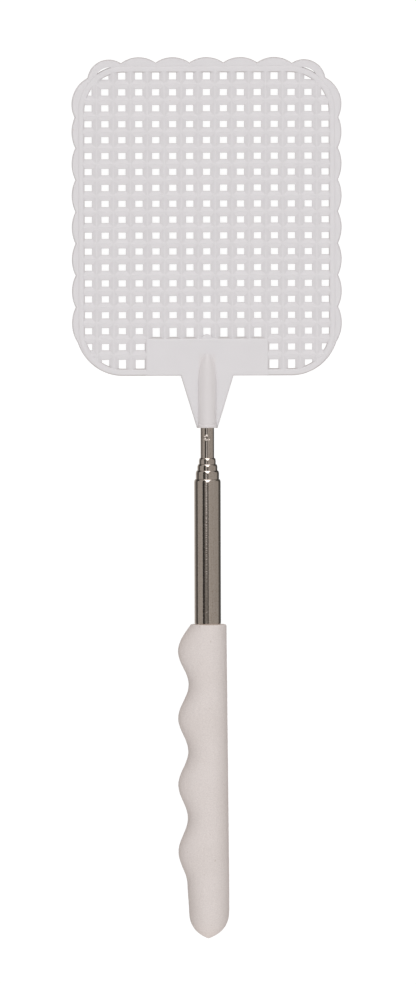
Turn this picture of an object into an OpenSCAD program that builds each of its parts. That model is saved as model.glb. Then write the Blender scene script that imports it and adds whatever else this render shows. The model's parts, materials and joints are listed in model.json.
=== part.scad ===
// Telescopic fly swatter with a five-section tube handle, collapsed and lying on its grip.
// Millimetres. The tubes run along +Y towards the head, +Z points out of the head's face and
// the finger swells of the grip point to -X. The origin is on the surface that the swatter
// lies on, under the middle of its outline. Lengths along the tubes are stations, measured
// from the butt of the grip.

/* [Head] */
// Holes across the head
hole_columns = 15; // [9:2:15]
// Holes along the head
hole_rows = 19; // [11:2:19]
// Spacing of the holes across the head
column_pitch = 5.64; // [5:0.01:6]
// Spacing of the holes along the head
row_pitch = 5.3; // [5:0.01:6]
// Width of one hole
hole_w = 2.45; // [2:0.05:2.8]
// Length of one hole
hole_l = 2.12; // [1.8:0.02:2.5]
// Thickness of a rib along its ridge
rib_ridge_t = 2.0; // [1.6:0.1:2.2]
// Thickness of a rib at the edge of a hole
rib_edge_t = 0.7; // [0.5:0.1:1]
// Width of the raised ring around the field of holes
ring_w = 2.35; // [2:0.05:3]
// Thickness of the raised ring
ring_t = 2.2; // [1.8:0.1:2.6]
// Corner radius of the field of holes at the tip of the head
field_tip_r = 13; // [12:0.5:15]
// Corner radius of the field of holes beside the neck
field_neck_r = 12.5; // [11:0.5:14]

/* [Scallops] */
// Thickness of the scalloped border
border_t = 1.5; // [1.2:0.1:1.8]
// Width of the bead around the open slit in each tip corner
corner_bead_w = 2.6; // [2.4:0.1:2.8]
// Radius of the scallops across the tip
tip_scallop_r = 9.8; // [8:0.1:12]
// Radius of the scallops along the sides
side_scallop_r = 12; // [10:0.5:14]
// Radius of the small scallop at each tip corner
corner_scallop_r = 7.2; // [7:0.1:7.5]
// Radius of the scallop between the tip corner and the side
shoulder_scallop_r = 9.9; // [9.5:0.1:10.2]
// Radius of the plain round corners beside the neck
neck_corner_r = 15.8; // [15:0.2:16.4]

/* [Neck] */
// Width of the flat plate between the neck and the ribs
plate_w = 41; // [36:1:44]
// Length of the flat plate
plate_l = 12.6; // [11:0.2:13]
// Thickness of the plate and the neck
plate_t = 2.3; // [2.2:0.1:2.6]
// Length of the neck web below the head
neck_l = 17.4; // [14:0.2:20]
// Width of the neck web where it meets the head
neck_wide = 17.5; // [12:0.5:20]
// Diameter of the round socket boss
boss_d = 6.6; // [6.2:0.1:7.4]
// Length of the lip at the mouth of the socket
boss_lip_l = 1; // [0.6:0.1:1.5]
// Diameter of the moulding gate on the plate
gate_d = 3.6; // [2.5:0.1:4]

/* [Tubes] */
// Outside diameter of the thinnest tube
tube_1_d = 4.5; // [4.4:0.05:4.6]
// Growth in outside diameter from one tube to the next
tube_d_step = 1.075; // [1.05:0.005:1.1]
// Wall thickness of every tube
tube_wall = 0.3; // [0.28:0.01:0.32]
// Gap around a tube in the rolled-in nose of the next one
nose_gap = 0.05; // [0.03:0.01:0.08]
// Length of tube_1 showing below the neck
tube_1_shown = 10.1; // [8:0.1:20]
// Length of tube_2 showing past the nose of tube_3
tube_2_shown = 2.1; // [2:0.1:6]
// Length of tube_3 showing past the nose of tube_4
tube_3_shown = 2.1; // [2:0.1:6]
// Length of tube_4 showing past the nose of tube_5
tube_4_shown = 2.9; // [2:0.1:6]
// Length of tube_5 showing past the grip
tube_5_shown = 48.4; // [40:0.2:80]
// Depth that tube_5 is linished to where the grip is glued on
seat_cut = 0.1; // [0.08:0.01:0.12]
// Depth of the staking dimple in tube_1
dimple_depth = 0.22; // [0.1:0.02:0.24]

/* [End plugs and springs] */
// Thickness of the stop flange under the springs
flange_l = 1; // [0.8:0.1:1.5]
// Length of the spindle that carries the springs
spindle_l = 9; // [6:0.5:10]
// Length of the spigot pressed into the tube
spigot_l = 3; // [2.5:0.5:5]
// Radial clearance of a spring pair against the next tube
spring_gap = 0.03; // [0.02:0.01:0.05]
// Opening between the two halves of a spring pair
spring_split = 0.6; // [0.4:0.1:1]

/* [Grip] */
// Length of the foam grip
grip_l = 104.9; // [100:0.5:112]
// Radius of the grip on the palm side, close to the butt
palm_r = 7; // [6.8:0.1:7.4]
// Reach of the finger swells from the tube axis
swell_r = 10; // [9:0.1:11]
// Radius of the grip on the palm side, close to the mouth
palm_mouth_r = 6.3; // [6:0.1:6.8]
// Reach of the finger side at the butt
tail_r = 6.5; // [6:0.1:7]
// Spacing of the finger swells
finger_pitch = 22.3; // [20:0.1:24]
// Station of the swell nearest the butt
first_swell = 29; // [26:0.5:31]
// Length of the rounded butt
butt_l = 11; // [9:0.5:12]
// Thickness of foam closing the butt under the tubes
butt_wall = 5.5; // [5:0.5:8]

/* [Hidden] */

plastic = [0.83, 0.83, 0.83];
steel = [0.62, 0.60, 0.57];
brass = [0.80, 0.65, 0.32];
bronze = [0.72, 0.48, 0.28];
foam = [0.84, 0.80, 0.79];

// Small overlap that joins shapes within one node
bite = 0.02;
// Radial clearance of a plug pressed into a tube
press_gap = 0.01;
// Radial clearance of a spring pair around its spindle
spindle_gap = 0.04;
// Rest gap between stacked end plugs
stack_gap = 0.2;
// Length of a tube's rounded nose, of the lip inside it and of the bead at the lower end
nose_l = 1.1;
nose_lip_l = 0.55;
bead_l = 0.8;
// Radial clearance of a bead or a stop flange in the next tube
slide_gap = 0.05;
// Where the grip's seat on tube_5 ends, just clear of the grip's mouth, and its run-out
seat_end = grip_l + 0.05;
seat_run_out = 0.7;

function tube_d(i) = tube_1_d + (i - 1) * tube_d_step;
function bore_d(i) = tube_d(i) - 2 * tube_wall;
function spindle_r(i) = tube_d(i) / 2 - 0.15;
// Chamfer on the edges of the turned plugs
edge_c = 0.2;

// Stations of the tubes, from the butt upwards
plug_flange_l = 1;
base_spigot_l = 4;
tube_5_start = butt_wall + plug_flange_l;
plug_l = flange_l + spindle_l + spigot_l;
function plug_start(i) = tube_5_start + base_spigot_l + stack_gap + (4 - i) * (plug_l + stack_gap);
function tube_start(i) = i == 5 ? tube_5_start : plug_start(i) + flange_l + spindle_l;

nose_5 = grip_l + tube_5_shown;
nose_4 = nose_5 + tube_4_shown;
nose_3 = nose_4 + tube_3_shown;
nose_2 = nose_3 + tube_2_shown;
function nose(i) = [nose_2, nose_3, nose_4, nose_5][i - 2];

// Stations of the head
neck_start = nose_2 + tube_1_shown;
head_start = neck_start + neck_l;
field_start = head_start + ring_w;
last_hole_gap = 0.85;
first_hole_reach = 1.3;
last_row = field_start + last_hole_gap + hole_l / 2;
first_row = last_row + (hole_rows - 1) * row_pitch;
field_end = first_row + first_hole_reach;
field_w = (hole_columns - 1) * column_pitch + hole_w;
tip_border = 2.7;
side_border = 1.9;
tip_peak = field_end + ring_w + tip_border;
side_peak = field_w / 2 + ring_w + side_border;
corner_x = 32.5;
corner_y = first_row - 1.6;
shoulder_y = first_row - 9.3;
first_side_y = first_row - 3.5 * row_pitch;
neck_corner_x = 28;
tube_1_end = head_start + 0.6;
gate_y = head_start + plate_l - 0.6;

// Station of the staking dimple in tube_1, how far it lies off the axis and its radius
dimple_station = neck_start - 3.2;
dimple_x = -0.5;
dimple_r = 0.9;

// The outline's middle and the height of the tube axis above the surface
total_l = tip_peak;
mid = total_l / 2;
axis_h = palm_r;

module on_axis(station) {
    translate([0, station - mid, axis_h]) rotate([-90, 0, 0]) children();
}

module in_head_plane(thickness) {
    translate([0, -mid, axis_h - thickness / 2]) linear_extrude(height = thickness) children();
}

module both_sides() {
    children();
    mirror([1, 0, 0]) children();
}

// A rectangle symmetric about the axis, from station y0 to y1, with corner radii r0 and r1
module rounded_field(half_w, y0, y1, r0, r1) {
    translate([-half_w + r0, y0]) square([2 * (half_w - r0), r0 + bite]);
    translate([-half_w + r1, y1 - r1 - bite]) square([2 * (half_w - r1), r1 + bite]);
    translate([-half_w, y0 + r0]) square([2 * half_w, y1 - y0 - r0 - r1]);
    both_sides() {
        translate([half_w - r0, y0 + r0]) circle(r = r0, $fn = 96);
        translate([half_w - r1, y1 - r1]) circle(r = r1, $fn = 96);
    }
}

module field() {
    rounded_field(field_w / 2, field_start, field_end, field_neck_r, field_tip_r);
}

module ring_outline() {
    rounded_field(field_w / 2 + ring_w, head_start, field_end + ring_w,
                  field_neck_r + ring_w, field_tip_r + ring_w);
}

// Every scallop is a disc: the border is what the discs cover outside the ring
module scallop_discs() {
    for (k = [-2:2])
        translate([2 * k * column_pitch, tip_peak - tip_scallop_r])
            circle(r = tip_scallop_r, $fn = 96);
    both_sides() {
        translate([corner_x, corner_y]) circle(r = corner_scallop_r, $fn = 96);
        translate([side_peak - shoulder_scallop_r, shoulder_y])
            circle(r = shoulder_scallop_r, $fn = 96);
        for (k = [0:6])
            translate([side_peak - side_scallop_r, first_side_y - 2 * k * row_pitch])
                circle(r = side_scallop_r, $fn = 96);
        translate([neck_corner_x, head_start + neck_corner_r]) circle(r = neck_corner_r, $fn = 96);
    }
}

// The open crescent between the corner bead and the ring
module corner_slits() {
    both_sides() difference() {
        translate([corner_x, corner_y]) circle(r = corner_scallop_r - corner_bead_w, $fn = 96);
        ring_outline();
    }
}

// Bars of hexagonal section: a ridge along the middle, sloping down to the holes
module bar(length, width) {
    linear_extrude(height = length)
        polygon([[-width / 2, -rib_edge_t / 2], [0, -rib_ridge_t / 2], [width / 2, -rib_edge_t / 2],
                 [width / 2, rib_edge_t / 2], [0, rib_ridge_t / 2], [-width / 2, rib_edge_t / 2]]);
}

module ribs() {
    across = column_pitch - hole_w;
    along = row_pitch - hole_l;
    for (c = [0:hole_columns - 2])
        translate([(c - (hole_columns - 2) / 2) * column_pitch, field_start - mid, axis_h])
            rotate([-90, 0, 0]) bar(field_end - field_start, across);
    for (r = [0:hole_rows - 2])
        translate([-field_w / 2, first_row - (r + 0.5) * row_pitch - mid, axis_h])
            rotate([90, 0, 90]) bar(field_w, along);
}

// The socket boss: a straight barrel with a lip at its mouth and an egg-shaped end
module boss() {
    barrel_l = neck_l - 4;
    egg_l = 12.2;
    lip_d = boss_d + 0.4;
    steps = 14;
    egg = [for (k = [0:steps]) let (a = 90 * k / steps) [boss_d / 2 * cos(a), barrel_l + egg_l * sin(a)]];
    on_axis(neck_start) {
        rotate_extrude($fn = 96) polygon(concat([[0, 0], [boss_d / 2, 0]], egg));
        cylinder(d = lip_d, h = boss_lip_l, $fn = 96);
    }
}

module neck_web() {
    in_head_plane(plate_t)
        polygon([[-boss_d / 2, neck_start], [boss_d / 2, neck_start],
                 [neck_wide / 2, head_start + bite], [-neck_wide / 2, head_start + bite]]);
}

module plate() {
    in_head_plane(plate_t) {
        translate([-plate_w / 2, head_start]) square([plate_w, plate_l]);
        translate([0, gate_y]) circle(d = gate_d, $fn = 48);
    }
}

module swatter_head() {
    color(plastic) difference() {
        union() {
            intersection() {
                ribs();
                in_head_plane(rib_ridge_t) rib_limit();
            }
            in_head_plane(ring_t) difference() {
                ring_outline();
                field();
            }
            in_head_plane(border_t) difference() {
                union() {
                    scallop_discs();
                    ring_outline();
                }
                field();
                corner_slits();
            }
            plate();
            neck_web();
            boss();
        }
        on_axis(neck_start - 1) cylinder(d = tube_1_d, h = tube_1_end - neck_start + 1, $fn = 96);
    }
}

// The field, reaching a little way into the ring so that ribs and ring are one solid
module rib_limit() {
    rounded_field(field_w / 2 + ring_w / 2, field_start - ring_w / 2, field_end + ring_w / 2,
                  field_neck_r + ring_w / 2, field_tip_r + ring_w / 2);
}

// Lower end of a tube's outer side: the bead of a sliding tube, or the linished seat of the grip
function lower_end(i) = let (start = tube_start(i), r = tube_d(i) / 2) i == 5
    ? [[r - seat_cut, start], [r - seat_cut, seat_end], [r, seat_end + seat_run_out]]
    : let (bead_r = bore_d(i + 1) / 2 - slide_gap)
      [[bead_r, start], [bead_r, start + bead_l], [r, start + bead_l + edge_c]];

// Wall of a tube, with a rolled-in nose at the upper end
module tube_wall_profile(i) {
    r = tube_d(i) / 2;
    b = bore_d(i) / 2;
    start = tube_start(i);
    end = nose(i);
    lip = tube_d(i - 1) / 2 + nose_gap;
    lip_t = 0.08;
    flare_l = 0.35;
    steps = 8;
    crown = [for (k = [0:steps]) let (a = 90 * k / steps)
             [lip + lip_t + (r - lip - lip_t) * cos(a), end - nose_l + nose_l * sin(a)]];
    polygon(concat([[b, start]], lower_end(i), crown,
                   [[lip, end], [lip, end - nose_lip_l], [b, end - nose_lip_l - flare_l]]));
}

module nested_tube(i) {
    color(steel) on_axis(0) rotate_extrude($fn = 128) tube_wall_profile(i);
}

module tube_2() nested_tube(2);
module tube_3() nested_tube(3);
module tube_4() nested_tube(4);
module tube_5() nested_tube(5);

// The thinnest tube ends in the head's socket. Its punched dimple locks the plug inside it.
module tube_1() {
    start = tube_start(1);
    bead_r = bore_d(2) / 2 - slide_gap;
    color(steel) difference() {
        on_axis(start) {
            difference() {
                cylinder(d = tube_1_d, h = tube_1_end - start, $fn = 128);
                translate([0, 0, -1]) cylinder(d = bore_d(1), h = tube_1_end - start + 2, $fn = 128);
            }
            difference() {
                cylinder(r = bead_r, h = bead_l, $fn = 128);
                translate([0, 0, -1]) cylinder(d = bore_d(1), h = bead_l + 2, $fn = 128);
            }
        }
        translate([dimple_x, dimple_station - mid, axis_h + tube_1_d / 2 - dimple_depth + dimple_r])
            sphere(r = dimple_r, $fn = 32);
    }
}

// Solid rod that stiffens tube_1 in the socket, with the groove that the dimple is punched into
module tip_plug() {
    at = 4;
    start = dimple_station - at;
    length = tube_1_end - start - 0.3;
    r = bore_d(1) / 2 - press_gap;
    groove_r = r - 0.45;
    groove_half = 1.1;
    color(brass) on_axis(start) rotate_extrude($fn = 96)
        polygon([[0, 0], [r - edge_c, 0], [r, edge_c], [r, at - groove_half], [groove_r, at - groove_half],
                 [groove_r, at + groove_half], [r, at + groove_half], [r, length - edge_c],
                 [r - edge_c, length], [0, length]]);
}

// Stop and spring carrier at the lower end of sliding tube i
module end_plug(i) {
    flange_r = bore_d(i + 1) / 2 - slide_gap;
    spigot_r = bore_d(i) / 2 - press_gap;
    up = flange_l + spindle_l;
    color(brass) on_axis(plug_start(i)) rotate_extrude($fn = 96)
        polygon([[0, 0], [flange_r - edge_c, 0], [flange_r, edge_c], [flange_r, flange_l],
                 [spindle_r(i), flange_l], [spindle_r(i), up], [spigot_r, up],
                 [spigot_r, up + spigot_l - edge_c], [spigot_r - edge_c, up + spigot_l], [0, up + spigot_l]]);
}

module end_plug_1() end_plug(1);
module end_plug_2() end_plug(2);
module end_plug_3() end_plug(3);
module end_plug_4() end_plug(4);

// Half of the split friction sleeve around end plug i, on the side that the sign of side gives
module half_spring(i, side) {
    outer = bore_d(i + 1) / 2 - spring_gap;
    inner = spindle_r(i) + spindle_gap;
    end_gap = 0.1;
    length = spindle_l - 2 * end_gap;
    color(bronze) on_axis(plug_start(i) + flange_l + end_gap) difference() {
        cylinder(r = outer, h = length, $fn = 96);
        translate([0, 0, -1]) cylinder(r = inner, h = length + 2, $fn = 96);
        translate([-outer - 1, side > 0 ? -outer - 1 : -spring_split / 2, -1])
            cube([2 * outer + 2, outer + 1 + spring_split / 2, length + 2]);
    }
}

module spring_1a() half_spring(1, 1);
module spring_1b() half_spring(1, -1);
module spring_2a() half_spring(2, 1);
module spring_2b() half_spring(2, -1);
module spring_3a() half_spring(3, 1);
module spring_3b() half_spring(3, -1);
module spring_4a() half_spring(4, 1);
module spring_4b() half_spring(4, -1);

// Cap that closes the lower end of tube_5 inside the grip
module base_plug() {
    color(plastic) on_axis(butt_wall) {
        cylinder(r = tube_d(5) / 2 - seat_cut, h = plug_flange_l, $fn = 96);
        cylinder(r = bore_d(5) / 2 - press_gap, h = plug_flange_l + base_spigot_l, $fn = 96);
    }
}

// Reach of the grip at a station: finger swells on one side, a slowly tapering palm on the others
mouth_r = 5.6;
mouth_curve = 1.3;
butt_power = 3.3;
butt_blunt = 0.85;
taper_start = 20;
tail_l = 10;
tail_slope = 0.07;
last_swell = first_swell + 3 * finger_pitch;
function butt_share(s) = s < butt_l ? pow(1 - pow(1 - s / butt_l, butt_power), butt_blunt) : 1;
function palm_body(s) =
    palm_r - (palm_r - palm_mouth_r) * max(0, s - taper_start) / (grip_l - taper_start);
function palm_reach(s) = min(palm_body(s) * butt_share(s), mouth_r + mouth_curve * sqrt(max(0, grip_l - s)));
function tail_reach(s) = min(palm_body(s), tail_r + tail_slope * max(0, s - tail_l)) * butt_share(s);
function swell_share(s) = (1 + cos(360 * (s - first_swell) / finger_pitch)) / 2;
function finger_reach(s) =
    s > last_swell ? mouth_r + (swell_r - mouth_r) * cos(90 * (s - last_swell) / (grip_l - last_swell)) :
    s < first_swell - finger_pitch / 2 ? tail_reach(s) :
    palm_body(s) + (swell_r - palm_body(s)) * swell_share(s);

module grip() {
    sides = 32;
    tip_r = 0.02;
    bore_r = tube_d(5) / 2 - seat_cut + 0.02;
    butt_steps = 9;
    body_step = 1.5;
    mouth_l = 4;
    mouth_steps = 8;
    stations = concat([for (k = [0:butt_steps - 1]) butt_l * pow(k / butt_steps, 1.6)],
                      [for (s = [butt_l:body_step:grip_l - mouth_l - 0.5]) s],
                      [for (k = [0:mouth_steps]) grip_l - mouth_l * pow(1 - k / mouth_steps, 2)]);
    rings = [for (s = stations) [for (k = [0:sides - 1]) let (
                a = 360 * k / sides,
                reach = max(tip_r, cos(a) < 0 ? finger_reach(s) : palm_reach(s)))
             [reach * cos(a), s - mid, axis_h + max(tip_r, palm_reach(s)) * sin(a)]]];
    n = len(stations);
    points = [for (ring = rings) each ring];
    walls = [for (j = [0:n - 2], k = [0:sides - 1]) let (m = (k + 1) % sides)
             [j * sides + k, j * sides + m, (j + 1) * sides + m, (j + 1) * sides + k]];
    ends = [[for (k = [sides - 1:-1:0]) k], [for (k = [0:sides - 1]) (n - 1) * sides + k]];
    color(foam) difference() {
        polyhedron(points = points, faces = concat(walls, ends), convexity = 4);
        on_axis(butt_wall) cylinder(r = bore_r, h = grip_l, $fn = 96);
    }
}

swatter_head();
tip_plug();
tube_1();
tube_2();
tube_3();
tube_4();
tube_5();
end_plug_1();
end_plug_2();
end_plug_3();
end_plug_4();
spring_1a();
spring_1b();
spring_2a();
spring_2b();
spring_3a();
spring_3b();
spring_4a();
spring_4b();
base_plug();
grip();
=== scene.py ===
"""Looks of the telescopic fly swatter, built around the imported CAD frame.

Metres, in the frame of the CAD: the tubes run along +Y towards the head, +Z points out of the
head's face, the finger swells of the grip point to -X and the swatter lies on z = 0.
"""
import json
import math

import bmesh
import bpy
from mathutils import Euler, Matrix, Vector, noise


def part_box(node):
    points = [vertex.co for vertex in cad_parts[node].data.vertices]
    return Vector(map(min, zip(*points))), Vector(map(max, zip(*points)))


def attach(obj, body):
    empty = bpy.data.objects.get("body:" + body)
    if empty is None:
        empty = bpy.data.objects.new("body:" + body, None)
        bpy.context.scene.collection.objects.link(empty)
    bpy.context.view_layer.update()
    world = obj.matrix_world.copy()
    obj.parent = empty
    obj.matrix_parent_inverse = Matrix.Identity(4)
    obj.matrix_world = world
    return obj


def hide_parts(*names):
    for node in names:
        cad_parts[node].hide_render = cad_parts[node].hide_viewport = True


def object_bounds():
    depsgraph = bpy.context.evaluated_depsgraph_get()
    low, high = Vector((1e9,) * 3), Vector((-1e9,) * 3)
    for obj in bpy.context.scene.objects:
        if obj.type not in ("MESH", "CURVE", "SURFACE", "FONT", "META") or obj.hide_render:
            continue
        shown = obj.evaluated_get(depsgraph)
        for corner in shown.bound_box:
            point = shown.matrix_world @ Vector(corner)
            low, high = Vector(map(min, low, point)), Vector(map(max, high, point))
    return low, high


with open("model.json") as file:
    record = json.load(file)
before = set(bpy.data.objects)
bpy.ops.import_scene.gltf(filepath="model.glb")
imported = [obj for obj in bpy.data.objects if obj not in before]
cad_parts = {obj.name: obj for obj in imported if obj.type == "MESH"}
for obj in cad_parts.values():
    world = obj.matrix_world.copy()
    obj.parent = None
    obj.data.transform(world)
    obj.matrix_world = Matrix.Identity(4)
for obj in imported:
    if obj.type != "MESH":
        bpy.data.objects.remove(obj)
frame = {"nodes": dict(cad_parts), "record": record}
cad_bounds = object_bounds()

MM = 0.001

# ---------------------------------------------------------------- places, from the frame
head_low, head_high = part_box("swatter_head")
grip_low, grip_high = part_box("grip")
tube_5_low, tube_5_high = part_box("tube_5")
AXIS_Z = (tube_5_low.z + tube_5_high.z) / 2
NECK_Y = head_low.y
TIP_Y = head_high.y
BUTT_Y = grip_low.y
GRIP_L = grip_high.y - grip_low.y
SIDE_X = head_high.x

# ---------------------------------------------------------------- sizes of the head
COLUMNS = 15
ROWS = 19
COLUMN_PITCH = 5.64 * MM
ROW_PITCH = 5.3 * MM
HOLE_W = 2.45 * MM
HOLE_L = 2.12 * MM
RIDGE_H = 1.0 * MM
EDGE_H = 0.35 * MM
RING_W = 2.35 * MM
RING_H = 1.02 * MM
FIELD_TIP_R = 13 * MM
FIELD_NECK_R = 12.5 * MM
BORDER_H = 0.75 * MM
WEB_H = 0.73 * MM
BEAD_W = 2.35 * MM
CORNER_BEAD_W = 2.6 * MM
TIP_SCALLOP_R = 9.8 * MM
SIDE_SCALLOP_R = 12 * MM
CORNER_SCALLOP_R = 7.2 * MM
SHOULDER_SCALLOP_R = 9.9 * MM
NECK_CORNER_R = 15.8 * MM
# The tip corner's scallop comes after those along the tip
CORNER_SCALLOP = 3
CORNER_X = 32.5 * MM
CORNER_DROP = 1.6 * MM
SHOULDER_DROP = 9.3 * MM
FIRST_SIDE_ROW = 3.5
SIDE_SCALLOPS = 7
NECK_CORNER_X = 28 * MM
TIP_BORDER = 2.7 * MM
FIRST_HOLE_REACH = 1.3 * MM
PLATE_HALF_W = 20.5 * MM
PLATE_L = 12.6 * MM
PLATE_H = 1.15 * MM
PLATE_EDGE_W = 1.1 * MM
PLATE_EDGE_DROP = 0.6 * MM
GATE_R = 1.8 * MM
GATE_H = 0.95 * MM
NECK_L = 17.4 * MM
NECK_HALF_W = 8.75 * MM
BOSS_R = 3.3 * MM
TUBE_1_R = 2.25 * MM
# Half height that cuts right through the head, and a radius small enough to be the tube axis
THROUGH = 3 * MM
ON_AXIS = 0.002 * MM

HEAD_Y = NECK_Y + NECK_L
FIELD_START = HEAD_Y + RING_W
FIELD_END = TIP_Y - TIP_BORDER - RING_W
FIRST_ROW = FIELD_END - FIRST_HOLE_REACH
FIELD_HALF_W = (COLUMNS - 1) / 2 * COLUMN_PITCH + HOLE_W / 2


# ---------------------------------------------------------------- mesh helpers
def mesh_object(name, verts, faces, smooth=32):
    """A closed mesh with outward normals, smooth except along edges sharper than `smooth` degrees."""
    mesh = bpy.data.meshes.new(name)
    mesh.from_pydata([tuple(v) for v in verts], [], faces)
    shape = bmesh.new()
    shape.from_mesh(mesh)
    bmesh.ops.remove_doubles(shape, verts=shape.verts, dist=2e-7)
    bmesh.ops.recalc_face_normals(shape, faces=shape.faces)
    shape.to_mesh(mesh)
    shape.free()
    obj = bpy.data.objects.new(name, mesh)
    bpy.context.scene.collection.objects.link(obj)
    shade(obj, smooth)
    return obj


def shade(obj, smooth):
    """Smooth shading, except along edges sharper than `smooth` degrees."""
    obj.data.shade_smooth()
    obj.data.set_sharp_from_angle(angle=math.radians(smooth))


def combine(base, tools):
    """Applies (tool, operation) pairs to base, one after the other, and removes the tools."""
    for tool, operation in tools:
        step = base.modifiers.new(tool.name, "BOOLEAN")
        step.operation = operation
        step.solver = "MANIFOLD"
        step.object = tool
    bake_modifiers(base)
    for tool, _ in tools:
        bpy.data.objects.remove(tool)
    return base


def bake_modifiers(obj):
    """Replaces the mesh by what its modifiers make of it."""
    bpy.context.view_layer.update()
    graph = bpy.context.evaluated_depsgraph_get()
    result = bpy.data.meshes.new_from_object(obj.evaluated_get(graph))
    obj.modifiers.clear()
    obj.data = result


def prism(name, outline, half_h, round_off=0.0):
    """The flat outline, thickened by half_h each way around the tube axis's height."""
    n = len(outline)
    verts = [(x, y, AXIS_Z - half_h) for x, y in outline] + [(x, y, AXIS_Z + half_h) for x, y in outline]
    faces = [list(range(n))[::-1], list(range(n, 2 * n))]
    faces += [[k, (k + 1) % n, n + (k + 1) % n, n + k] for k in range(n)]
    obj = mesh_object(name, verts, faces)
    if round_off:
        shape = bmesh.new()
        shape.from_mesh(obj.data)
        rims = [e for e in shape.edges if abs(e.verts[0].co.z - e.verts[1].co.z) < 1e-7]
        bmesh.ops.bevel(shape, geom=rims, offset=round_off, segments=3, profile=0.5, affect="EDGES")
        shape.to_mesh(obj.data)
        shape.free()
    return obj


def inset(outline, d):
    """A counter-clockwise outline of few corners, drawn in by d."""
    n = len(outline)
    lines = []
    for k in range(n):
        (ax, ay), (bx, by) = outline[k], outline[(k + 1) % n]
        length = math.hypot(bx - ax, by - ay)
        nx, ny = -(by - ay) / length, (bx - ax) / length
        lines.append((nx, ny, nx * ax + ny * ay + d))
    corners = []
    for k in range(n):
        a, b, c = lines[k - 1]
        e, f, g = lines[k]
        det = a * f - b * e
        corners.append(((c * f - b * g) / det, (a * g - c * e) / det))
    return corners


def stacked_faces(loops, n):
    """Faces between stacked loops of n points each, closed at both ends."""
    faces = [list(range(n))[::-1], [(loops - 1) * n + k for k in range(n)]]
    for j in range(loops - 1):
        for k in range(n):
            m = (k + 1) % n
            faces.append([j * n + k, j * n + m, (j + 1) * n + m, (j + 1) * n + k])
    return faces


def soft_slab(name, outline, half_h, edge_w, edge_drop):
    """A flat slab whose faces fall away by edge_drop over the last edge_w before the outline."""
    steps = 7
    loops = []
    for k in range(steps + 1):
        a = math.pi / 2 * k / steps
        loops.append((inset(outline, edge_w * (1 - math.cos(a))), half_h - edge_drop * (1 - math.sin(a))))
    verts = [(x, y, AXIS_Z - h) for loop, h in reversed(loops) for x, y in loop]
    verts += [(x, y, AXIS_Z + h) for loop, h in loops for x, y in loop]
    return mesh_object(name, verts, stacked_faces(len(verts) // len(outline), len(outline)))


def revolve(name, profile, segments, smooth=32, shape_point=None):
    """Turns a closed profile of (radius, y) points about the tube axis."""
    n = len(profile)
    verts = []
    for k in range(segments):
        a = 2 * math.pi * k / segments
        for r, y in profile:
            point = Vector((r * math.sin(a), y, AXIS_Z + r * math.cos(a)))
            verts.append(shape_point(point) if shape_point else point)
    faces = []
    for k in range(segments):
        m = (k + 1) % segments
        faces += [[k * n + j, k * n + (j + 1) % n, m * n + (j + 1) % n, m * n + j] for j in range(n)]
    return mesh_object(name, verts, faces, smooth)


def arc(cx, cy, r, start, end, steps):
    """Points on a circle from angle start to angle end, in degrees."""
    angles = [math.radians(start + (end - start) * k / steps) for k in range(steps + 1)]
    return [(cx + r * math.cos(a), cy + r * math.sin(a)) for a in angles]


def circle(cx, cy, r):
    """Points all round a circle."""
    sides = 48
    return arc(cx, cy, r, 0, 360 - 360 / sides, sides - 1)


def rounded_outline(half_w, y0, y1, r0, r1):
    """A rectangle from y0 to y1, with corner radius r0 at y0 and r1 at y1, counter-clockwise."""
    steps = 24
    right = arc(half_w - r0, y0 + r0, r0, -90, 0, steps) + arc(half_w - r1, y1 - r1, r1, 0, 90, steps)
    left = arc(-half_w + r1, y1 - r1, r1, 90, 180, steps) + arc(-half_w + r0, y0 + r0, r0, 180, 270, steps)
    return right + left


def field_outline(grow):
    """The outline of all the holes together, grown by `grow`."""
    return rounded_outline(FIELD_HALF_W + grow, FIELD_START - grow, FIELD_END + grow,
                           FIELD_NECK_R + grow, FIELD_TIP_R + grow)


def sweep(name, path, half_w, half_h, closed, power, sides=20):
    """A bead of superellipse section along a flat path of (x, y) points."""
    n = len(path)
    verts = []
    for k, (x, y) in enumerate(path):
        before = path[(k - 1) % n] if closed or k else path[k]
        after = path[(k + 1) % n] if closed or k < n - 1 else path[k]
        along = Vector((after[0] - before[0], after[1] - before[1], 0)).normalized()
        across = Vector((along.y, -along.x, 0))
        for j in range(sides):
            a = 2 * math.pi * (j + 0.5) / sides
            u = math.copysign(abs(math.cos(a)) ** (2 / power), math.cos(a)) * half_w
            v = math.copysign(abs(math.sin(a)) ** (2 / power), math.sin(a)) * half_h
            verts.append((x + across.x * u, y + across.y * u, AXIS_Z + v))
    faces = []
    for k in range(n if closed else n - 1):
        m = (k + 1) % n
        faces += [[k * sides + j, k * sides + (j + 1) % sides, m * sides + (j + 1) % sides, m * sides + j]
                  for j in range(sides)]
    if not closed:
        faces += [list(range(sides)), [(n - 1) * sides + j for j in range(sides)][::-1]]
    return mesh_object(name, verts, faces)


# ---------------------------------------------------------------- the head
# How a rib rises from the edge of a hole (0) to its ridge (1): share of the way, half thickness
RIB_RISE = [(0.0, EDGE_H - 0.12 * MM), (0.06, EDGE_H), (0.83, RIDGE_H - 0.09 * MM),
            (0.91, RIDGE_H - 0.025 * MM), (1.0, RIDGE_H)]


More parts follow.
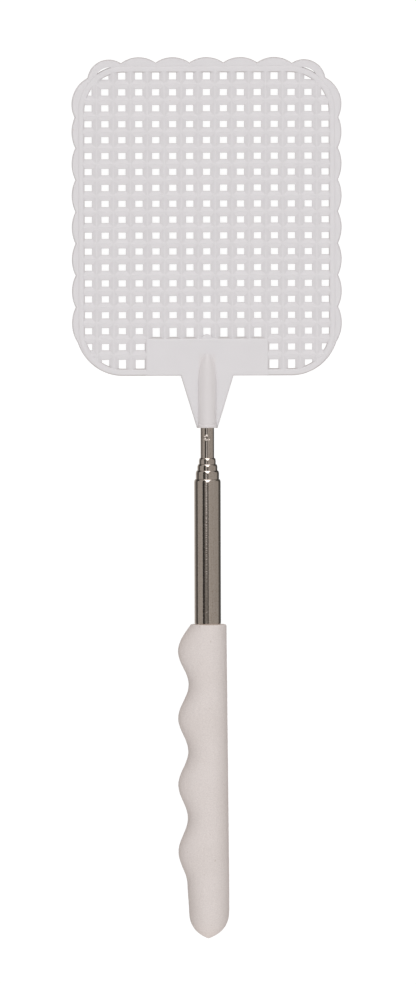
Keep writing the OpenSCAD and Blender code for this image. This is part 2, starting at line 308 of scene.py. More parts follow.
def cell(column, row):
    """(hole, cell) rectangles of one hole, each as x0, x1, y0, y1."""
    x = (column - (COLUMNS - 1) / 2) * COLUMN_PITCH
    y = FIRST_ROW - row * ROW_PITCH
    hole = [x - HOLE_W / 2, x + HOLE_W / 2, y - HOLE_L / 2, y + HOLE_L / 2]
    around = [x - COLUMN_PITCH / 2, x + COLUMN_PITCH / 2, y - ROW_PITCH / 2, y + ROW_PITCH / 2]
    under_ring = 0.15 * MM
    reach = RING_W * 0.7
    if column == 0:
        hole[0], around[0] = -FIELD_HALF_W - under_ring, -FIELD_HALF_W - reach
    if column == COLUMNS - 1:
        hole[1], around[1] = FIELD_HALF_W + under_ring, FIELD_HALF_W + reach
    if row == 0:
        hole[3], around[3] = FIELD_END + under_ring, FIELD_END + reach
    if row == ROWS - 1:
        hole[2], around[2] = FIELD_START - under_ring, FIELD_START - reach
    # Holes that border on the plate end a little before its edge
    plate_gap = 0.3 * MM
    left_of_plate = 3
    right_of_plate = COLUMNS - 1 - left_of_plate
    beside_plate = row >= ROWS - 2
    if column == left_of_plate and beside_plate:
        hole[1] = -PLATE_HALF_W - plate_gap
    if column == right_of_plate and beside_plate:
        hole[0] = PLATE_HALF_W + plate_gap
    if row == ROWS - 3 and left_of_plate < column < right_of_plate:
        hole[2] = HEAD_Y + PLATE_L + plate_gap
    return hole, around


def rib_field():
    """The grid of roof-shaped ribs, one frame of sloping faces around each hole."""
    verts = []
    faces = []
    for column in range(COLUMNS):
        for row in range(ROWS):
            hole, around = cell(column, row)
            rims = {}
            for side in (1, -1):
                rims[side] = []
                for share, h in RIB_RISE:
                    x0, x1, y0, y1 = [a + (b - a) * share for a, b in zip(hole, around)]
                    rims[side].append(len(verts))
                    z = AXIS_Z + side * h
                    verts += [(x0, y0, z), (x1, y0, z), (x1, y1, z), (x0, y1, z)]
            for side in (1, -1):
                for a, b in zip(rims[side], rims[side][1:]):
                    for k in range(4):
                        m = (k + 1) % 4
                        quad = [a + k, b + k, b + m, a + m]
                        faces.append(quad if side > 0 else quad[::-1])
            top, bottom = rims[1], rims[-1]
            outer = [row == ROWS - 1, column == COLUMNS - 1, row == 0, column == 0]
            for k in range(4):
                m = (k + 1) % 4
                faces.append([bottom[0] + k, top[0] + k, top[0] + m, bottom[0] + m])
                if outer[k]:
                    faces.append([bottom[-1] + k, bottom[-1] + m, top[-1] + m, top[-1] + k])
    return mesh_object("swatter_head_mesh", verts, faces)


def scallops():
    """Discs (x, y, r) whose outer arcs make the border, from the tip's middle round to the neck."""
    discs = [(2 * k * COLUMN_PITCH, TIP_Y - TIP_SCALLOP_R, TIP_SCALLOP_R) for k in range(CORNER_SCALLOP)]
    discs.append((CORNER_X, FIRST_ROW - CORNER_DROP, CORNER_SCALLOP_R))
    discs.append((SIDE_X - SHOULDER_SCALLOP_R, FIRST_ROW - SHOULDER_DROP, SHOULDER_SCALLOP_R))
    for k in range(SIDE_SCALLOPS):
        y = FIRST_ROW - (FIRST_SIDE_ROW + 2 * k) * ROW_PITCH
        discs.append((SIDE_X - SIDE_SCALLOP_R, y, SIDE_SCALLOP_R))
    discs.append((NECK_CORNER_X, HEAD_Y + NECK_CORNER_R, NECK_CORNER_R))
    return discs


def valley(a, b):
    """The outer crossing of two discs."""
    (ax, ay, ar), (bx, by, br) = a, b
    gap = math.hypot(bx - ax, by - ay)
    along = (gap * gap + ar * ar - br * br) / (2 * gap)
    rise = math.sqrt(ar * ar - along * along)
    ux, uy = (bx - ax) / gap, (by - ay) / gap
    ends = [(ax + ux * along - uy * rise * s, ay + uy * along + ux * rise * s) for s in (1, -1)]
    middle = (0, (HEAD_Y + TIP_Y) / 2)
    return max(ends, key=lambda p: math.dist(p, middle))


def border_arcs():
    """For each disc, its centre, radius and the first and last angle of its arc, clockwise."""
    discs = scallops()
    arcs = []
    for k, (x, y, r) in enumerate(discs):
        start = 90.0 if k == 0 else angle_at(discs[k], valley(discs[k - 1], discs[k]))
        end = -90.0 if k == len(discs) - 1 else angle_at(discs[k], valley(discs[k], discs[k + 1]))
        arcs.append((x, y, r, start, end))
    return arcs


def angle_at(disc, point):
    """The direction of a point from a disc's centre, in degrees."""
    return math.degrees(math.atan2(point[1] - disc[1], point[0] - disc[0]))


def border_web():
    """The thin sheet between the ring and the scalloped beads."""
    under_bead = 0.4 * MM
    right = []
    for x, y, r, start, end in border_arcs():
        right += arc(x, y, r - under_bead, start, end, 14)
    loop = right + [(-x, y) for x, y in reversed(right)]
    outline = [p for k, p in enumerate(loop) if k == 0 or math.dist(p, loop[k - 1]) > 1e-6]
    return prism("border_web", outline, WEB_H)


def border_beads():
    """A rounded bead along each scallop, on both sides of the head."""
    beads = []
    overrun = 0.7 * MM
    for k, (x, y, r, start, end) in enumerate(border_arcs()):
        width = CORNER_BEAD_W if k == CORNER_SCALLOP else BEAD_W
        extra = math.degrees(overrun / r)
        first = 180 - end + extra if k == 0 else start + extra
        path = arc(x, y, r - width / 2, first, end - extra, 26)
        beads.append(sweep(f"bead_{k}", path, width / 2, BORDER_H, closed=False, power=2.3))
        if k:
            mirrored = [(-px, py) for px, py in path]
            beads.append(sweep(f"bead_{k}_left", mirrored, width / 2, BORDER_H, closed=False, power=2.3))
    return beads


def slit_discs():
    """Cut through the web of each tip corner, leaving a crescent open beside the ring."""
    x, y, r = scallops()[CORNER_SCALLOP]
    inner = r - CORNER_BEAD_W
    return [prism("slit", circle(side * x, y, inner), THROUGH) for side in (1, -1)]


def boss():
    """The round socket: a straight barrel with a lip at its mouth and an egg-shaped end."""
    barrel_end = HEAD_Y - 4 * MM
    egg_l = 12.2 * MM
    lip_r = BOSS_R + 0.16 * MM
    lip_l = 1.0 * MM
    lip = [(lip_r - 0.2 * MM, NECK_Y), (lip_r, NECK_Y + 0.2 * MM), (lip_r, NECK_Y + lip_l - 0.1 * MM),
           (BOSS_R - 0.03 * MM, NECK_Y + lip_l + 0.15 * MM)]
    egg = [(BOSS_R * math.cos(math.radians(a)), barrel_end + egg_l * math.sin(math.radians(a)))
           for a in range(0, 90, 4)]
    tip = [(ON_AXIS, barrel_end + egg_l)]
    return revolve("boss", [(ON_AXIS, NECK_Y)] + lip + egg + tip, 96)


def plate_and_neck():
    """The flat plate over the lower ribs and the tapered web down to the socket's mouth."""
    top = HEAD_Y + PLATE_L
    mouth_half_w = 3.45 * MM
    right = [(mouth_half_w, NECK_Y), (NECK_HALF_W, HEAD_Y), (PLATE_HALF_W, HEAD_Y), (PLATE_HALF_W, top)]
    left = [(-x, y) for x, y in reversed(right)]
    outline = right + left
    area = sum(ax * by - bx * ay for (ax, ay), (bx, by) in zip(outline, outline[1:] + outline[:1]))
    counter_clockwise = outline if area > 0 else outline[::-1]
    return soft_slab("plate", counter_clockwise, PLATE_H, PLATE_EDGE_W, PLATE_EDGE_DROP)


def swatter_head():
    """The ribs, border, ring, plate, neck and boss joined in one moulding, with its socket bored."""
    socket_end = HEAD_Y + 0.6 * MM
    socket_start = NECK_Y - 1 * MM
    head = rib_field()
    limit = prism("rib_limit", field_outline(RING_W * 0.5), THROUGH)
    ring = sweep("ring", field_outline(RING_W / 2), RING_W / 2, RING_H, closed=True, power=2.6, sides=32)
    web = combine(border_web(), [(prism("field_cut", field_outline(RING_W * 0.6), THROUGH), "DIFFERENCE")]
                  + [(slit, "DIFFERENCE") for slit in slit_discs()])
    gate_y = HEAD_Y + PLATE_L - 0.6 * MM
    gate = prism("gate", circle(0, gate_y, GATE_R), GATE_H, round_off=0.15 * MM)
    socket = [(ON_AXIS, socket_start), (TUBE_1_R, socket_start),
              (TUBE_1_R, socket_end), (ON_AXIS, socket_end)]
    tools = [(limit, "INTERSECT"), (web, "UNION"), (ring, "UNION")]
    tools += [(bead, "UNION") for bead in border_beads()]
    tools += [(gate, "UNION"), (plate_and_neck(), "UNION"), (boss(), "UNION"),
              (revolve("socket", socket, 64), "DIFFERENCE")]
    combine(head, tools)
    shade(head, 26)
    normals = head.modifiers.new("normals", "WEIGHTED_NORMAL")
    normals.keep_sharp = True
    bake_modifiers(head)
    return head


# ---------------------------------------------------------------- the tubes
TUBE_STEP = 1.075 * MM
WALL = 0.3 * MM
SEAT_CUT = 0.1 * MM
SEAT_RUN_OUT = 0.7 * MM
SLIDE_GAP = 0.05 * MM
BEAD_L = 0.8 * MM
BEAD_RUN_OUT = 0.2 * MM
NOSE_L = 1.1 * MM
NOSE_LIP_L = 0.55 * MM
NOSE_GAP = 0.05 * MM


def tube_sizes(number):
    """Outer radius, lower end and upper end of a tube, from its CAD node."""
    low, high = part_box(f"tube_{number}")
    radius = TUBE_1_R + (number - 1) * TUBE_STEP / 2
    return radius, low.y, high.y


def lower_bead(r, start):
    """The swelled lower end that guides tubes 1 to 4 in the next tube's bore."""
    bead_r = r - WALL + TUBE_STEP / 2 - SLIDE_GAP
    return [(bead_r, start), (bead_r, start + BEAD_L), (r, start + BEAD_L + BEAD_RUN_OUT)]


def nosed_tube(number):
    """Tubes 2 to 5: a bead or a seat at the lower end and a rolled-in nose at the upper end."""
    r, start, end = tube_sizes(number)
    lip = tube_sizes(number - 1)[0] + NOSE_GAP
    bore = r - WALL
    if number == 5:
        seat_r = r - SEAT_CUT
        seat_end = grip_high.y + 0.05 * MM
        lower = [(seat_r, start), (seat_r, seat_end), (r, seat_end + SEAT_RUN_OUT)]
    else:
        lower = lower_bead(r, start)
    rim = 0.08 * MM
    crown = r - lip - rim
    nose = [(lip + rim + crown * math.cos(a), end - NOSE_L + NOSE_L * math.sin(a))
            for a in [math.pi / 2 * k / 14 for k in range(15)]]
    inside = [(lip, end - 0.1 * MM), (lip, end - NOSE_LIP_L), (bore, end - NOSE_LIP_L - 0.35 * MM)]
    return revolve(f"tube_{number}_mesh", [(bore, start)] + lower + nose + inside, 160, smooth=40)


DIMPLE_Y = NECK_Y - 3.2 * MM
DIMPLE_X = -0.5 * MM


def punch(point):
    """Presses the staking dimple, its raised lip and the crescent beside it into tube_1."""
    reach = 2.2 * MM
    if point.z < AXIS_Z or abs(point.y - DIMPLE_Y) > reach:
        return point
    across = point.x - DIMPLE_X
    along = point.y - DIMPLE_Y
    d = math.hypot(across, along)
    pit_r = 0.5 * MM
    pit_depth = 0.34 * MM
    lip_r = 0.72 * MM
    lip_w = 0.16 * MM
    lip_h = 0.075 * MM
    crescent_r = 1.28 * MM
    crescent_w = 0.14 * MM
    crescent_h = 0.09 * MM
    crescent_x = 0.16 * MM
    push = -pit_depth * (1 - (d / pit_r) ** 2) ** 1.5 if d < pit_r else 0.0
    push += lip_h * math.exp(-((d - lip_r) / lip_w) ** 2)
    from_crescent = math.hypot(across - crescent_x, along)
    facing = max(0.0, across / max(d, 1e-6))
    push += crescent_h * facing ** 2 * math.exp(-((from_crescent - crescent_r) / crescent_w) ** 2)
    out = Vector((point.x, 0, point.z - AXIS_Z)).normalized()
    return point + out * push


def tube_1():
    """The innermost tube, with rows of points close enough to carry the dimple."""
    r, start, end = tube_sizes(1)
    bore = r - WALL
    fine = 0.07 * MM
    coarse = 0.21 * MM
    dimple = [(r, DIMPLE_Y + fine * k) for k in range(-28, 29)]
    outside = lower_bead(r, start) + dimple + [(r, end)]
    inside = [(bore, DIMPLE_Y + coarse * k) for k in range(10, -11, -1)]
    inside = [(bore, end)] + inside + [(bore, start)]
    return revolve("tube_1_mesh", outside + inside, 240, smooth=50, shape_point=punch)


# ---------------------------------------------------------------- the grip
PALM_R = AXIS_Z
PALM_MOUTH_R = 6.3 * MM
TAIL_R = 6.5 * MM
SWELL_R = 10.0 * MM
FINGER_PITCH = 22.3 * MM
FIRST_SWELL = 29 * MM
LAST_SWELL = FIRST_SWELL + 3 * FINGER_PITCH
TAPER_START = 20 * MM
TAIL_L = 10 * MM
TAIL_SLOPE = 0.07
BUTT_L = 11 * MM
BUTT_POWER = 3.3
BUTT_BLUNT = 0.85
MOUTH_R = 5.6 * MM
MOUTH_CURVE = 1.3
BORE_R = 4.33 * MM
BUTT_WALL = 5.5 * MM
# Depth of the foam's ragged surface, as a share of its radius
FOAM_RAG = 0.009


def butt_share(s):
    """How much of the full section there is, s from the butt's tip."""
    return (1 - (1 - s / BUTT_L) ** BUTT_POWER) ** BUTT_BLUNT if s < BUTT_L else 1.0


def palm_body(s):
    """Radius of the slowly tapering body of the grip, s from the butt."""
    return PALM_R - (PALM_R - PALM_MOUTH_R) * max(0.0, s - TAPER_START) / (GRIP_L - TAPER_START)


def palm_reach(s):
    """Reach of the grip towards the palm, drawn in at the mouth."""
    to_mouth = max(0.0, (GRIP_L - s) / MM)
    return min(palm_body(s) * butt_share(s), MOUTH_R + MOUTH_CURVE * math.sqrt(to_mouth) * MM)


def finger_reach(s):
    """Reach of the grip towards the fingers."""
    if s > LAST_SWELL:
        to_mouth = (s - LAST_SWELL) / (GRIP_L - LAST_SWELL)
        return MOUTH_R + (SWELL_R - MOUTH_R) * math.cos(math.pi / 2 * to_mouth)
    if s < FIRST_SWELL - FINGER_PITCH / 2:
        return min(palm_body(s), TAIL_R + TAIL_SLOPE * max(0.0, s - TAIL_L)) * butt_share(s)
    swell = (1 + math.cos(2 * math.pi * (s - FIRST_SWELL) / FINGER_PITCH)) / 2
    return palm_body(s) + (SWELL_R - palm_body(s)) * swell


def foam_grip():
    """Sweeps the section along the grip, rolls over the mouth's rim and lines the bore."""
    sides = 160
    tip = 0.01 * MM
    rim_zone = 2.3 * MM
    stations = [BUTT_L * (k / 24) ** 1.7 for k in range(24)]
    step = 0.36 * MM
    s = BUTT_L
    while s < GRIP_L - 3 * MM:
        stations.append(s)
        s += step
    rim = 0.45 * MM
    stations += [GRIP_L - rim - rim_zone * (1 - k / 9) ** 1.5 for k in range(10)]
    rings = [(max(tip, finger_reach(s)), max(tip, palm_reach(s)), s) for s in stations]
    rim_finger, rim_palm, _ = rings[-1]
    for k in range(1, 7):
        a = math.pi / 2 * k / 6
        drop = rim * (1 - math.cos(a))
        rings.append((rim_finger - drop, rim_palm - drop, GRIP_L - rim + rim * math.sin(a)))
    bore = [(BORE_R + 0.25 * MM, GRIP_L), (BORE_R + 0.06 * MM, GRIP_L - 0.08 * MM),
            (BORE_R, GRIP_L - 0.3 * MM), (BORE_R, BUTT_WALL), (tip, BUTT_WALL)]
    rings += [(r, r, s) for r, s in bore]
    verts = []
    rag_size = 0.7 * MM
    for finger, palm, s in rings:
        foam = palm > BORE_R + 0.5 * MM
        for k in range(sides):
            a = 2 * math.pi * k / sides
            reach = finger if math.cos(a) < 0 else palm
            spot = Vector((reach * math.cos(a), s, palm * math.sin(a)))
            ragged = 1 - FOAM_RAG * (1 + noise.noise(spot / rag_size)) if foam else 1
            verts.append((spot.x * ragged, BUTT_Y + s, AXIS_Z + spot.z * ragged))
    return mesh_object("grip_mesh", verts, stacked_faces(len(rings), sides), smooth=60)


# ---------------------------------------------------------------- materials
def material(name, roughness, metallic=0.0, specular=0.5):
    """A new material with its node tree and its shader."""
    mat = bpy.data.materials.new(name)
    mat.use_nodes = True
    shader = mat.node_tree.nodes["Principled BSDF"]
    shader.inputs["Roughness"].default_value = roughness
    shader.inputs["Metallic"].default_value = metallic
    shader.inputs["Specular IOR Level"].default_value = specular
    return mat, mat.node_tree, shader


def grain(tree, size, detail=4.0, stretch=(1, 1, 1), roughness=0.5):
    """A noise whose features are about `size` metres across, longer along an axis by its stretch."""
    place = tree.nodes.new("ShaderNodeTexCoord")
    scale = tree.nodes.new("ShaderNodeMapping")
    scale.inputs["Scale"].default_value = [1 / (size * s) for s in stretch]
    tree.links.new(place.outputs["Object"], scale.inputs["Vector"])
    texture = tree.nodes.new("ShaderNodeTexNoise")
    texture.inputs["Scale"].default_value = 1.0
    texture.inputs["Detail"].default_value = detail
    texture.inputs["Roughness"].default_value = roughness
    tree.links.new(scale.outputs["Vector"], texture.inputs["Vector"])
    return texture.outputs["Fac"]


def ramp(tree, factor, stops):
    """A colour that runs through the (position, colour) stops."""
    node = tree.nodes.new("ShaderNodeValToRGB")
    while len(node.color_ramp.elements) < len(stops):
        node.color_ramp.elements.new(0.5)
    for element, (at, colour) in zip(node.color_ramp.elements, stops):
        element.position = at
        element.color = (*colour, 1)
    tree.links.new(factor, node.inputs["Fac"])
    return node.outputs["Color"]


def mixed(tree, factor, a, b, blend="MIX"):
    """Blends b over a; each of the three is an output or a constant."""
    node = tree.nodes.new("ShaderNodeMix")
    node.data_type = "RGBA"
    node.blend_type = blend
    for socket, value in ((node.inputs[0], factor), (node.inputs[6], a), (node.inputs[7], b)):
        if hasattr(value, "links"):
            tree.links.new(value, socket)
        elif isinstance(value, (int, float)):
            socket.default_value = value
        else:
            socket.default_value = (*value, 1)
    return node.outputs[2]


def maths(tree, operation, *values):
    """A maths node's output; each value is an output or a constant."""
    node = tree.nodes.new("ShaderNodeMath")
    node.operation = operation
    for socket, value in zip(node.inputs, values):
        if hasattr(value, "links"):
            tree.links.new(value, socket)
        else:
            socket.default_value = value
    return node.outputs[0]


def window(tree, value, low0, low1, high0, high1):
    """1 between low1 and high0, fading to 0 at low0 and high1."""
    rise = tree.nodes.new("ShaderNodeMapRange")
    fall = tree.nodes.new("ShaderNodeMapRange")
    for node, a, b in ((rise, low0, low1), (fall, high1, high0)):
        node.inputs["From Min"].default_value = a
        node.inputs["From Max"].default_value = b
        tree.links.new(value, node.inputs["Value"])
    return maths(tree, "MULTIPLY", rise.outputs["Result"], fall.outputs["Result"])


def rough_range(tree, factor, low, high):
    """Stretches a factor from 0..1 to low..high."""
    node = tree.nodes.new("ShaderNodeMapRange")
    node.inputs["To Min"].default_value = low
    node.inputs["To Max"].default_value = high
    tree.links.new(factor, node.inputs["Value"])
    return node.outputs["Result"]


def bump(tree, shader, *layers):
    """Stacks (height, depth in metres, strength) layers into the shader's normal."""
    last = None
    for height, depth, strength in layers:
        node = tree.nodes.new("ShaderNodeBump")
        node.inputs["Distance"].default_value = depth
        node.inputs["Strength"].default_value = strength
        tree.links.new(height, node.inputs["Height"])
        if last:
            tree.links.new(last, node.inputs["Normal"])
        last = node.outputs["Normal"]
    tree.links.new(last, shader.inputs["Normal"])


def coordinates(tree, output):
    """The x, y and z of a texture coordinate."""
    place = tree.nodes.new("ShaderNodeTexCoord")
    split = tree.nodes.new("ShaderNodeSeparateXYZ")
    tree.links.new(place.outputs[output], split.inputs["Vector"])
    return split.outputs


def plastic_material(name, tone):
    """Satin white plastic, cloudy, with rare brown specks, its upright walls darkened brown with painted
    shade.
    """
    mat, tree, shader = material(name, 0.42, specular=0.35)
    cloudy = ramp(tree, grain(tree, 9 * MM, 3.0), [(0.3, [c * 0.98 for c in tone]), (0.7, tone)])
    specks = ramp(tree, grain(tree, 0.9 * MM, 2.0), [(0.765, (0, 0, 0)), (0.80, (1, 1, 1))])
    speckled = mixed(tree, specks, cloudy, (tone[0] * 0.92, tone[1] * 0.83, tone[2] * 0.76))
    x, y, _ = coordinates(tree, "Object")
    beside = maths(tree, "ABSOLUTE", x)
    facing = coordinates(tree, "Normal")
    upright = maths(tree, "ABSOLUTE", facing["Z"])
    # Painted shade: walls darken to brown the more upright they stand, most of all those facing the ends
    # of the head and of its holes
    wall_painted_shade = ramp(tree, upright, [(0.0, (0.52, 0.42, 0.35)), (0.25, (0.68, 0.60, 0.55)), (0.45, (1, 1, 1))])
    towards_end = maths(tree, "ABSOLUTE", facing["Y"])
    # Painted shade: walls facing the ends of the head darken further
    endwise = ramp(tree, towards_end, [(0.5, (1, 1, 1)), (0.9, (0.72, 0.70, 0.68))])
    painted_wall_shade = mixed(tree, 1.0, wall_painted_shade, endwise, "MULTIPLY")
    # ... but not the round sides of the boss
    boss_x = window(tree, beside, -1.0, -0.5, BOSS_R + 0.1 * MM, BOSS_R + 0.2 * MM)
    boss_y = window(tree, y, NECK_Y + 0.2 * MM, NECK_Y + 0.3 * MM, HEAD_Y + 30 * MM, HEAD_Y + 31 * MM)
    off_boss = maths(tree, "SUBTRACT", 1.0, maths(tree, "MULTIPLY", boss_x, boss_y))
    # Off the boss, the speckled tone carries the painted wall shade
    speckled_with_painted_shade = mixed(tree, off_boss, speckled, mixed(tree, 1.0, speckled, painted_wall_shade, "MULTIPLY"))
    # The boss's crown has a slightly darker, pinker tone, and painted light makes its steep sides paler
    socket_x = window(tree, beside, -1.0, -0.5, 0.7 * BOSS_R, BOSS_R)
    socket_y = window(tree, y, NECK_Y - 2 * MM, NECK_Y - 1 * MM, HEAD_Y + 6 * MM, HEAD_Y + 8 * MM)
    socket = maths(tree, "MULTIPLY", socket_x, socket_y)
    # Painted light: the boss's sides are brightened the more upright they stand
    boss_tone_and_painted_light = ramp(tree, upright, [(0.2, (1.2, 1.18, 1.165)), (0.6, (1.07, 1.052, 1.038)),
                                  (0.87, (0.985, 0.968, 0.955))])
    plastic_colour_with_painted_light = mixed(tree, socket, speckled_with_painted_shade, mixed(tree, 1.0, speckled_with_painted_shade, boss_tone_and_painted_light, "MULTIPLY"))
    tree.links.new(plastic_colour_with_painted_light, shader.inputs["Base Color"])
    tree.links.new(rough_range(tree, grain(tree, 2 * MM), 0.36, 0.52), shader.inputs["Roughness"])
    fine = grain(tree, 0.28 * MM, 3.0)
    wavy = grain(tree, 6 * MM, 2.0)
    bump(tree, shader, (fine, 0.01 * MM, 0.5), (wavy, 0.06 * MM, 0.35))
    return mat


def steel_material(name):
    """Steel drawn and polished lengthwise, scuffed around the staking dimple, with painted shade darkening
    inside it.
    """
    mat, tree, shader = material(name, 0.09, metallic=1.0)
    x, _, z = coordinates(tree, "Object")
    place = tree.nodes.new("ShaderNodeTexCoord")
    away = tree.nodes.new("ShaderNodeVectorMath")
    away.operation = "DISTANCE"
    away.inputs[1].default_value = (DIMPLE_X, DIMPLE_Y, AXIS_Z + TUBE_1_R)
    tree.links.new(place.outputs["Object"], away.inputs[0])
    distance = away.outputs["Value"]
    # Painted shade: the pit of the staking dimple is coloured almost black
    pit_painted_shade = window(tree, distance, -2.0, -1.0, 0.34 * MM, 0.44 * MM)
    scuff = window(tree, distance, -2.0, -1.0, 1.2 * MM, 1.35 * MM)
    drawn = grain(tree, 0.16 * MM, 3.0, stretch=(1, 60, 1))
    pitted = grain(tree, 0.42 * MM, 3.0, roughness=0.6)
    # Fine rings around every tube but the innermost one
    height = maths(tree, "SUBTRACT", z, AXIS_Z)
    squares = maths(tree, "ADD", maths(tree, "MULTIPLY", x, x), maths(tree, "MULTIPLY", height, height))
    radius = maths(tree, "SQRT", squares)
    outer = window(tree, radius, TUBE_1_R + 0.1 * MM, TUBE_1_R + 0.3 * MM, 1.0, 2.0)
    rings = maths(tree, "MULTIPLY", grain(tree, 0.42 * MM, 1.0, stretch=(5, 1, 5)), outer)
    smudges = grain(tree, 4 * MM, 3.0, stretch=(1, 4, 1))
    tint = ramp(tree, drawn, [(0.3, (0.65, 0.58, 0.53)), (0.7, (0.73, 0.66, 0.61))])
    stained = ramp(tree, pitted, [(0.34, (0.84, 0.80, 0.75)), (0.5, (1, 1, 1))])
    worn = mixed(tree, 1.0, tint, stained, "MULTIPLY")
    tree.links.new(mixed(tree, pit_painted_shade, worn, (0.06, 0.05, 0.045)), shader.inputs["Base Color"])
    polish = rough_range(tree, smudges, 0.06, 0.10)
    tree.links.new(maths(tree, "MULTIPLY_ADD", scuff, 0.14, polish), shader.inputs["Roughness"])
    bump(tree, shader, (drawn, 0.004 * MM, 0.5), (pitted, 0.006 * MM, 0.6), (rings, 0.05 * MM, 0.8))
    return mat


def foam_material(name):
    """Matt closed-cell foam, a little soiled by handling."""
    mat, tree, shader = material(name, 0.92, specular=0.25)
    shader.inputs["Sheen Weight"].default_value = 0.12
    shader.inputs["Sheen Roughness"].default_value = 0.6
    cells = grain(tree, 0.34 * MM, 4.0, roughness=0.6)
    tone = ramp(tree, cells, [(0.3, (0.63, 0.575, 0.555)), (0.7, (0.74, 0.685, 0.66))])
    handled = ramp(tree, grain(tree, 14 * MM, 3.0), [(0.35, (0.97, 0.965, 0.96)), (0.65, (1, 1, 1))])
    spots = ramp(tree, grain(tree, 1.5 * MM, 1.0), [(0.765, (1, 1, 1)), (0.80, (0.86, 0.84, 0.81))])
    worn = mixed(tree, 1.0, tone, handled, "MULTIPLY")
    tree.links.new(mixed(tree, 1.0, worn, spots, "MULTIPLY"), shader.inputs["Base Color"])
    bump(tree, shader, (cells, 0.08 * MM, 0.55), (grain(tree, 5 * MM, 3.0), 0.25 * MM, 0.3))
    return mat


def turned_material(name, dark, light, roughness):
    """Brass or bronze with fine turning marks around the tube axis."""
    mat, tree, shader = material(name, roughness, metallic=1.0)
    marks = grain(tree, 0.12 * MM, 3.0, stretch=(30, 1, 30))
    tree.links.new(ramp(tree, marks, [(0.3, dark), (0.7, light)]), shader.inputs["Base Color"])
    tree.links.new(rough_range(tree, marks, roughness - 0.06, roughness + 0.1), shader.inputs["Roughness"])
    bump(tree, shader, (marks, 0.01 * MM, 0.4))
    return mat


# ---------------------------------------------------------------- pieces on the frame
WHITE_PLASTIC = plastic_material("white_plastic", (0.70, 0.682, 0.694))
STEEL = steel_material("polished_stainless")
FOAM = foam_material("grip_foam")
BRASS = turned_material("turned_brass", (0.62, 0.45, 0.17), (0.80, 0.62, 0.30), 0.28)
BRONZE = turned_material("spring_bronze", (0.55, 0.33, 0.18), (0.74, 0.48, 0.28), 0.32)
SLOT_MATERIAL = {"head_plastic": WHITE_PLASTIC, "plug_plastic": WHITE_PLASTIC, "stainless": STEEL,
                 "brass": BRASS, "spring_bronze": BRONZE, "grip_foam": FOAM}


def place(piece, body, node, slot):
    """Puts a finished piece on its body in place of a CAD node."""
    piece.data.materials.clear()
    piece.data.materials.append(SLOT_MATERIAL[slot])
    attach(piece, body)
    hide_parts(node)


def dress_cad_nodes():
    """Gives every CAD node its slot's material."""
    for entry in frame["record"]["subparts"]:
        mesh = frame["nodes"][entry["node"]].data
        mesh.materials.clear()
        mesh.materials.append(SLOT_MATERIAL[entry["material_slot"]])


def place_pieces():
    """Builds the head, the tubes and the grip and puts them on the frame."""
    place(swatter_head(), "head_section", "swatter_head", "head_plastic")
    place(tube_1(), "head_section", "tube_1", "stainless")
    for number, body in ((2, "section_2"), (3, "section_3"), (4, "section_4"), (5, "handle")):
        place(nosed_tube(number), body, f"tube_{number}", "stainless")
    grip = foam_grip()
    place(grip, "handle", "grip", "grip_foam")


# ---------------------------------------------------------------- studio
def floor():
    """A plain pale floor that glows softly, as on a light table."""
    half = 4.0
    thickness = 0.01
    square = [(-half, -half), (half, -half), (half, half), (-half, half)]
    corners = [(x, y, z) for z in (-thickness, 0) for x, y in square]
    sides = [[k, (k + 1) % 4, 4 + (k + 1) % 4, 4 + k] for k in range(4)]
    obj = mesh_object("studio_floor", corners, [[3, 2, 1, 0], [4, 5, 6, 7]] + sides)
    mat, _, shader = material("studio_floor", 0.9, specular=0.0)
    shader.inputs["Base Color"].default_value = (0.1, 0.1, 0.1, 1)
    shader.inputs["Emission Color"].default_value = (1, 1, 1, 1)
    shader.inputs["Emission Strength"].default_value = 0.97
    obj.data.materials.append(mat)
    obj.visible_glossy = False
    obj.visible_diffuse = False


# Brightness of the studio around the tube axis: degrees from straight up, towards +X, and level
STUDIO_BANDS = [(-180, 0.62), (-140, 0.55), (-132, 0.24), (-114, 0.12), (-99, 0.05), (-96, 0.38),
                (-46.5, 0.40), (-43.5, 0.03), (-28, 0.04), (-26, 0.17), (-19, 0.22), (-5, 0.20),
                (-2, 0.14), (7, 0.10), (10, 0.46), (22, 0.40), (104, 0.36), (116, 0.10), (180, 0.05)]
STUDIO_TINT = (1.05, 1.0, 0.94)


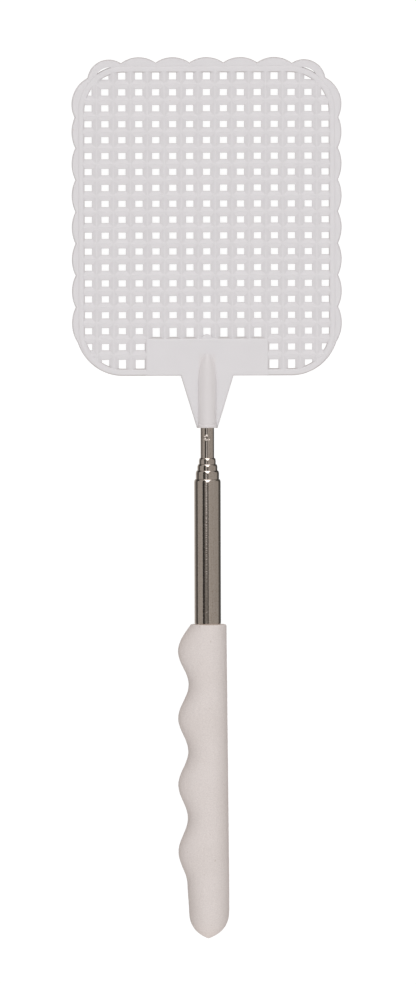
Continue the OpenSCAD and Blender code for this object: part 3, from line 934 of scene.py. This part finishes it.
def studio():
    """World light: bands for glossy surfaces, a soft dome for the others, a plain backdrop."""
    world = bpy.data.worlds.new("studio")
    bpy.context.scene.world = world
    world.use_nodes = True
    tree = world.node_tree
    back = tree.nodes["Background"]
    x, y, z = coordinates(tree, "Generated")
    # Banded walls around the tube axis
    around = maths(tree, "ARCTAN2", x, z)
    turn = maths(tree, "MULTIPLY_ADD", around, 1 / (2 * math.pi), 0.5)
    stops = [((deg + 180) / 360, [level * c for c in STUDIO_TINT]) for deg, level in STUDIO_BANDS]
    bands = ramp(tree, turn, stops)
    # A small pale strip overhead
    beyond = maths(tree, "ABSOLUTE", y)
    strip_turn = window(tree, turn, 0.450, 0.456, 0.482, 0.490)
    overhead = maths(tree, "MULTIPLY", strip_turn, window(tree, beyond, -2.0, -1.0, 0.02, 0.1))
    striped = mixed(tree, overhead, bands, (0.72, 0.71, 0.71))
    # Dark below the ends of the object, and a tapering soft box beyond its head
    low = window(tree, z, -3.0, -2.0, -0.05, 0.1)
    endwise = window(tree, beyond, 0.25, 0.45, 2.0, 3.0)
    dimmed = mixed(tree, maths(tree, "MULTIPLY", low, endwise), striped, (0.04, 0.038, 0.036))
    half_width = maths(tree, "MULTIPLY_ADD", y, 0.27, 0.15)
    across = maths(tree, "SUBTRACT", half_width, maths(tree, "ABSOLUTE", x))
    box_x = window(tree, across, 0.0, 0.04, 2.0, 3.0)
    box_y = window(tree, y, 0.18, 0.26, 0.97, 0.99)
    box_z = window(tree, z, 0.0, 0.05, 2.0, 3.0)
    box = maths(tree, "MULTIPLY", maths(tree, "MULTIPLY", box_x, box_y), box_z)
    # A dimmer soft box beyond the butt
    far_box_y = window(tree, y, -0.95, -0.8, -0.4, -0.3)
    far_box = maths(tree, "MULTIPLY", far_box_y, window(tree, z, 0.0, 0.2, 2.0, 3.0))
    glossy = mixed(tree, far_box, mixed(tree, box, dimmed, (2.6, 2.6, 2.6)), (1.3, 1.3, 1.3))
    # The dome: bright above, brighter beyond the ends than beside the object, warm and dim below
    height = maths(tree, "MULTIPLY_ADD", z, 0.5, 0.5)
    dome = ramp(tree, height, [(0.0, (0.23, 0.20, 0.175)), (0.42, (0.33, 0.29, 0.26)),
                               (0.6, (0.64, 0.62, 0.61)), (1.0, (0.95, 0.95, 0.955))])
    lean = maths(tree, "MULTIPLY_ADD", maths(tree, "MULTIPLY", y, y), 1.7, 0.98)
    lean = maths(tree, "MULTIPLY_ADD", maths(tree, "MULTIPLY", x, x), -0.6, lean)
    soft = mixed(tree, 1.0, dome, lean, "MULTIPLY")
    rays = tree.nodes.new("ShaderNodeLightPath")
    lit = mixed(tree, rays.outputs["Is Glossy Ray"], soft, glossy)
    seen = mixed(tree, rays.outputs["Is Camera Ray"], lit, (0.97, 0.97, 0.97))
    tree.links.new(seen, back.inputs["Color"])
    world.cycles.sampling_method = "MANUAL"
    world.cycles.sample_map_resolution = 512


def camera():
    """Down on the head's face with a long lens, leaning a little to the left and beyond the tip."""
    view_height = 328 * MM
    distance = 4.0
    lean = math.radians(2.0)
    roll = math.radians(-0.14)
    data = bpy.data.cameras.new("camera")
    data.lens = data.sensor_width * distance / view_height
    data.clip_start = 0.05
    data.clip_end = 50
    obj = bpy.data.objects.new("camera", data)
    bpy.context.scene.collection.objects.link(obj)
    middle_y = (cad_bounds[0][1] + cad_bounds[1][1]) / 2
    aim_x = 0.2 * MM
    aim_ahead = 2.1 * MM
    aim = Vector((aim_x, middle_y + aim_ahead, AXIS_Z))
    obj.rotation_euler = Euler((-lean, -lean, roll))
    obj.location = aim + obj.rotation_euler.to_matrix() @ Vector((0, 0, distance))
    bpy.context.scene.camera = obj


camera()
studio()
floor()
dress_cad_nodes()
place_pieces()
bpy.context.scene.view_settings.view_transform = "Standard"
